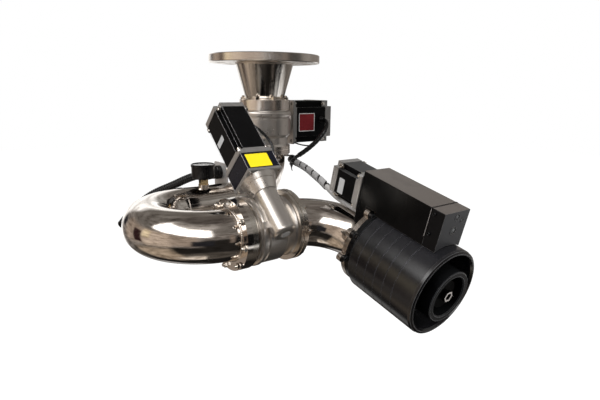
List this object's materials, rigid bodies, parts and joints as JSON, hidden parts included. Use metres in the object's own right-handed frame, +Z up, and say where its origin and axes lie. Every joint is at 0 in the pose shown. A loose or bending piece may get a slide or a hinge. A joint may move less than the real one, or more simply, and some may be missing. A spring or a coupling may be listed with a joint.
{
  "type": "remote-controlled fire monitor",
  "caption": "Ceiling-hung water cannon with motor-driven pan and tilt worm swivels, a looped steel water tube, a sliding spray sleeve and a detector housing.",
  "frame": {"origin": "centre of the top face of the inlet flange, which bolts to the supply pipe above", "axes": "+Z up along the inlet, out of the flange face; -Y the way the nozzle points at rest; +X from the loop to the nozzle side"},
  "size_m": [0.4683, 0.5246, 0.3831],
  "materials": {
    "polished_steel": "polished stainless steel",
    "machined_steel": "machined stainless steel",
    "blasted_steel": "bead-blasted stainless casting",
    "fastener_steel": "plain stainless fasteners",
    "bronze": "machined bronze",
    "brass_fitting": "bright brass",
    "motor_silver": "cast aluminium",
    "motor_black": "black enamel",
    "anodised_black": "satin black anodised",
    "anodised_grey": "dark grey anodised",
    "black_plastic": "moulded black",
    "black_cable": "black sheath",
    "grey_wrap": "grey spiral wrap",
    "clear_glass": "clear",
    "lens_glass": "dark window"
  },
  "bodies": {
    "base": {"inlet_flange": "machined_steel", "inlet_cone": "machined_steel", "pan_collar": "polished_steel", "pan_sleeve": "machined_steel", "pan_studs": "fastener_steel", "pan_worm_wheel": "bronze"},
    "pan_head": {"pan_bearing_cap": "machined_steel", "pan_housing": "blasted_steel", "pan_bush": "bronze", "pan_outlet_flange": "machined_steel", "pan_worm_plug": "blasted_steel", "pan_worm_bell": "blasted_steel", "pan_motor_body": "motor_black", "pan_motor_end_plates": "motor_silver", "pan_motor_leads": "black_cable", "swivel_elbow": "polished_steel", "rear_leg": "polished_steel", "u_bend": "polished_steel", "tilt_collar": "polished_steel", "tilt_sleeve": "machined_steel", "tilt_worm_wheel": "bronze", "loop_bolts": "fastener_steel", "gauge_stem": "brass_fitting", "gauge_case": "black_plastic", "gauge_glass": "clear_glass", "conduit_plate": "machined_steel", "conduit_fittings": "black_plastic", "conduit": "black_cable", "harness": "grey_wrap", "cable_clips": "machined_steel"},
    "tilt_head": {"tilt_bearing_cap": "machined_steel", "tilt_housing": "blasted_steel", "tilt_bush": "bronze", "tilt_outlet_flange": "machined_steel", "tilt_outlet_bolts": "fastener_steel", "tilt_worm_plug": "blasted_steel", "tilt_worm_bell": "blasted_steel", "tilt_block_core": "motor_black", "tilt_block_plates": "motor_silver", "tilt_motor_body": "motor_black", "tilt_motor_end_plates": "motor_silver", "tilt_motor_leads": "black_cable", "outlet_elbow": "polished_steel", "lobed_flange": "machined_steel", "lobe_screws": "fastener_steel", "nozzle_body": "anodised_black", "inner_tube": "anodised_grey", "deflector": "anodised_grey", "hub_nut": "fastener_steel", "detector_cover": "anodised_black", "detector_front": "anodised_grey", "detector_windows": "lens_glass", "detector_bracket": "machined_steel", "spray_motor_body": "motor_black", "spray_motor_end_plates": "motor_silver"},
    "pan_worm_shaft": {"pan_worm": "fastener_steel"},
    "tilt_worm_shaft": {"tilt_worm": "fastener_steel"},
    "spray_ring": {"spray_sleeve": "anodised_black"},
    "spray_screw_shaft": {"spray_screw": "fastener_steel"},
    "pointer": {"gauge_pointer": "black_plastic"}
  },
  "joints": [
    {"name": "pan_swivel", "type": "hinge", "parent": "base", "child": "pan_head", "pos_m": [0, 0, -0.0875], "axis": [0, 0, 1], "range_deg": [-175, 175]},
    {"name": "tilt_swivel", "type": "hinge", "parent": "pan_head", "child": "tilt_head", "pos_m": [-0.1622, -0.174, -0.264], "axis": [1, 0, 0], "range_deg": [-19, 76.1], "deforming": ["harness"]},
    {"name": "pan_worm_turn", "type": "hinge", "parent": "pan_head", "child": "pan_worm_shaft", "pos_m": [0, 0.052, -0.1235], "axis": [1, 0, 0], "range_deg": [-7001, 7001]},
    {"name": "tilt_worm_turn", "type": "hinge", "parent": "tilt_head", "child": "tilt_worm_shaft", "pos_m": [-0.1262, -0.20999, -0.22647], "axis": [0, 0.7218, 0.6921], "range_deg": [-3050, 770]},
    {"name": "spray_slide", "type": "slide", "parent": "tilt_head", "child": "spray_ring", "axis": [0, -0.9707, -0.2402], "range_m": [0, 0.02]},
    {"name": "spray_screw_turn", "type": "hinge", "parent": "tilt_head", "child": "spray_screw_shaft", "pos_m": [0.0133, -0.28993, -0.21182], "axis": [0, -0.9707, -0.2402], "range_deg": [-1801, 1]},
    {"name": "gauge_needle", "type": "hinge", "parent": "pan_head", "child": "pointer", "pos_m": [-0.133, -0.008, -0.19], "axis": [0, 0, -1], "range_deg": [0, 240]}
  ],
  "couplings": [
    {"joint": "pan_worm_turn", "follows": "pan_swivel", "ratio": -40},
    {"joint": "tilt_worm_turn", "follows": "tilt_swivel", "ratio": -40},
    {"joint": "spray_screw_turn", "follows": "spray_slide", "rad_per_m": -1570.8}
  ]
}
